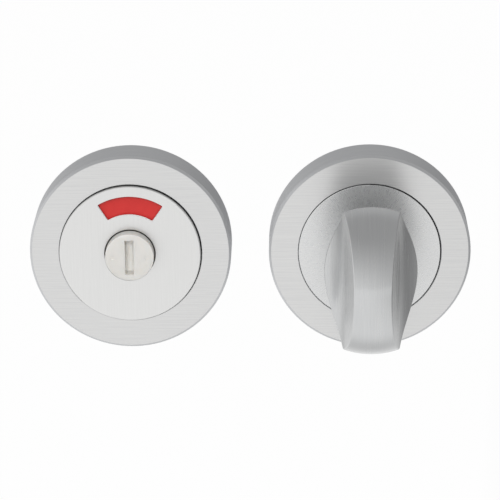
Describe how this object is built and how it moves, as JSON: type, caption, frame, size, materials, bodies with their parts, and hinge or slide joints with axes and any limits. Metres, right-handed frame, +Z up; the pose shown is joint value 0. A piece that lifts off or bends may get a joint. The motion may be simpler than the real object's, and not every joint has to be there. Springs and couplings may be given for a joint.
{
  "type": "bathroom thumb turn lock",
  "caption": "Bathroom thumb turn lock on round screw-on roses: a waisted inside turn with its square spindle, and an outside coin release with a red indicator window.",
  "frame": {"origin": "the thumb turn's axis on the door face, which is the plane of the backs of both roses", "axes": "+Z up the door, -Y out of the door towards the user (the spindle runs into the door along +Y), +X to the right as the user sees it; the release stands 61.7 mm to the left"},
  "size_m": [0.1137, 0.095, 0.052],
  "materials": {
    "satin_steel_ring": "stainless steel, brushed along X",
    "satin_steel_cap": "stainless steel, fine satin",
    "satin_turn": "cast turn, satin brushed",
    "zinc_casting": "zinc alloy, as cast and tumbled",
    "plated_steel": "bright zinc plated steel",
    "spring_steel": "blackened spring steel",
    "acetal": "natural acetal, turned",
    "white_nylon": "white nylon, moulded",
    "red_film": "red moulded plastic",
    "green_film": "green moulded plastic",
    "rubber": "black nitrile rubber"
  },
  "bodies": {
    "roses": {"turn_base": "zinc_casting", "turn_bush": "acetal", "turn_cap": "satin_steel_cap", "turn_ring": "satin_steel_ring", "turn_o_ring": "rubber", "release_base": "zinc_casting", "release_bush": "acetal", "release_cap": "satin_steel_cap", "release_ring": "satin_steel_ring", "release_o_ring": "rubber"},
    "turn": {"thumb_turn": "satin_turn", "turn_spindle": "plated_steel", "turn_grub_screw": "spring_steel", "turn_stop_pin": "plated_steel", "turn_circlip": "spring_steel", "turn_disc_spring": "spring_steel"},
    "release": {"coin_driver": "white_nylon", "indicator_disc": "acetal", "red_flag": "red_film", "green_flag": "green_film", "release_circlip": "spring_steel", "release_disc_spring": "spring_steel"}
  },
  "joints": [
    {"name": "turn_rotation", "type": "hinge", "parent": "roses", "child": "turn", "pos_m": [0, 0, 0], "axis": [0, -1, 0], "range_deg": [0, 90]},
    {"name": "release_rotation", "type": "hinge", "parent": "roses", "child": "release", "pos_m": [-0.0617, 0, 0], "axis": [0, 1, 0], "range_deg": [0, 90]}
  ]
}
